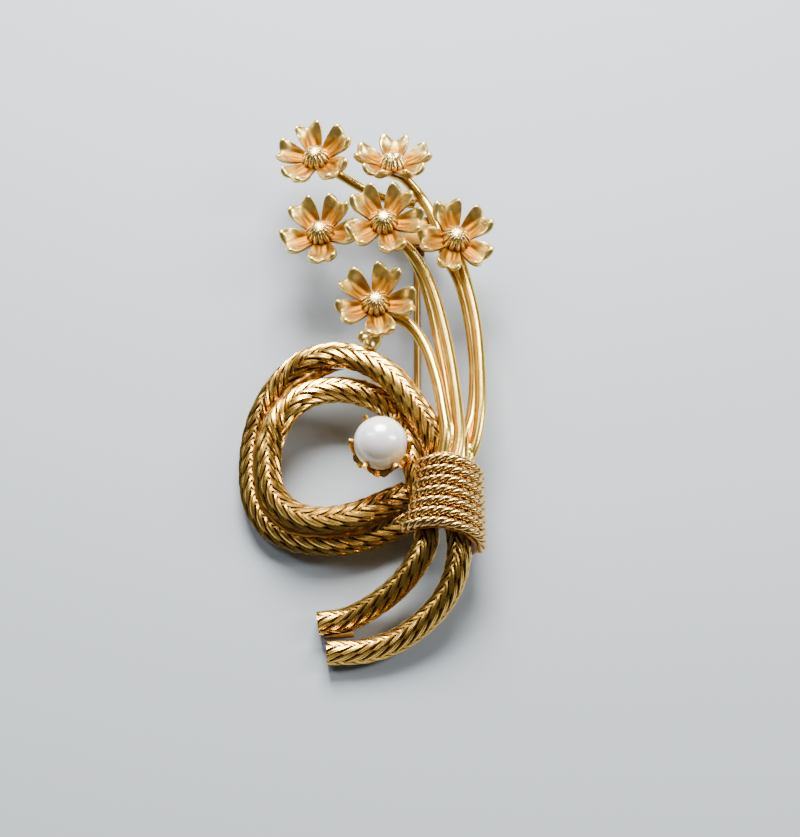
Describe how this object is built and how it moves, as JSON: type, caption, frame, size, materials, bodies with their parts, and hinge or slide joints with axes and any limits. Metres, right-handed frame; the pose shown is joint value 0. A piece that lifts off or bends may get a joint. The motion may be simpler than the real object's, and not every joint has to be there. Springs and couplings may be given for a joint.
{
  "type": "brooch",
  "caption": "Gold-tone flower-spray brooch with looped rope strands, a wrapped collar, a pearl in a pronged cup and a hinged pin with a safety catch.",
  "frame": {"origin": "centre of the bounding box on the plane the brooch lies on, z = 0 under the catch, the tails and the loop", "axes": "+Z out of the front face, +Y from the rope tails towards the flowers, +X from the loop towards the collar"},
  "size_m": [0.0289, 0.0636, 0.012],
  "materials": {
    "rope_gold": "plated, slightly antiqued in the recesses",
    "flower_gold": "bright gold plate",
    "stem_gold": "satin pale gold plate",
    "cup_gold": "bright orange gold plate",
    "findings_gold": "plated, plain",
    "pin_gold": "gold-plated steel wire",
    "pearl": "pearl lacquer"
  },
  "bodies": {
    "brooch": {"outer_strand": "rope_gold", "inner_strand": "rope_gold", "tail_web": "rope_gold", "collar_band": "rope_gold", "collar_rope_1": "rope_gold", "collar_rope_2": "rope_gold", "collar_rope_3": "rope_gold", "collar_rope_4": "rope_gold", "collar_rope_5": "rope_gold", "collar_rope_6": "rope_gold", "collar_rope_7": "rope_gold", "flower_top_left_petals": "flower_gold", "flower_top_left_centre": "flower_gold", "flower_top_right_petals": "flower_gold", "flower_top_right_centre": "flower_gold", "flower_middle_left_petals": "flower_gold", "flower_middle_left_centre": "flower_gold", "flower_centre_petals": "flower_gold", "flower_centre_centre": "flower_gold", "flower_right_petals": "flower_gold", "flower_right_centre": "flower_gold", "flower_lower_petals": "flower_gold", "flower_lower_centre": "flower_gold", "stem_lower": "stem_gold", "stem_centre": "stem_gold", "stem_top_right": "stem_gold", "stem_right": "stem_gold", "stem_middle_left": "stem_gold", "stem_top_left": "stem_gold", "joining_bead": "stem_gold", "pearl": "pearl", "pearl_cup": "cup_gold", "pearl_post": "cup_gold", "hinge_bracket": "findings_gold", "hinge_rivet": "findings_gold", "catch_housing": "findings_gold"},
    "pin": {"pin_stem": "pin_gold"},
    "catch_lever": {"catch_sleeve": "findings_gold"}
  },
  "joints": [
    {"name": "pin_hinge", "type": "hinge", "parent": "brooch", "child": "pin", "pos_m": [0.00555, 0.019, 0.00145], "axis": [1, 0, 0], "range_deg": [0, 100]},
    {"name": "catch_roll", "type": "hinge", "parent": "brooch", "child": "catch_lever", "pos_m": [0.00555, -0.0121, 0.00145], "axis": [0, -1, 0], "range_deg": [0, 70]}
  ]
}
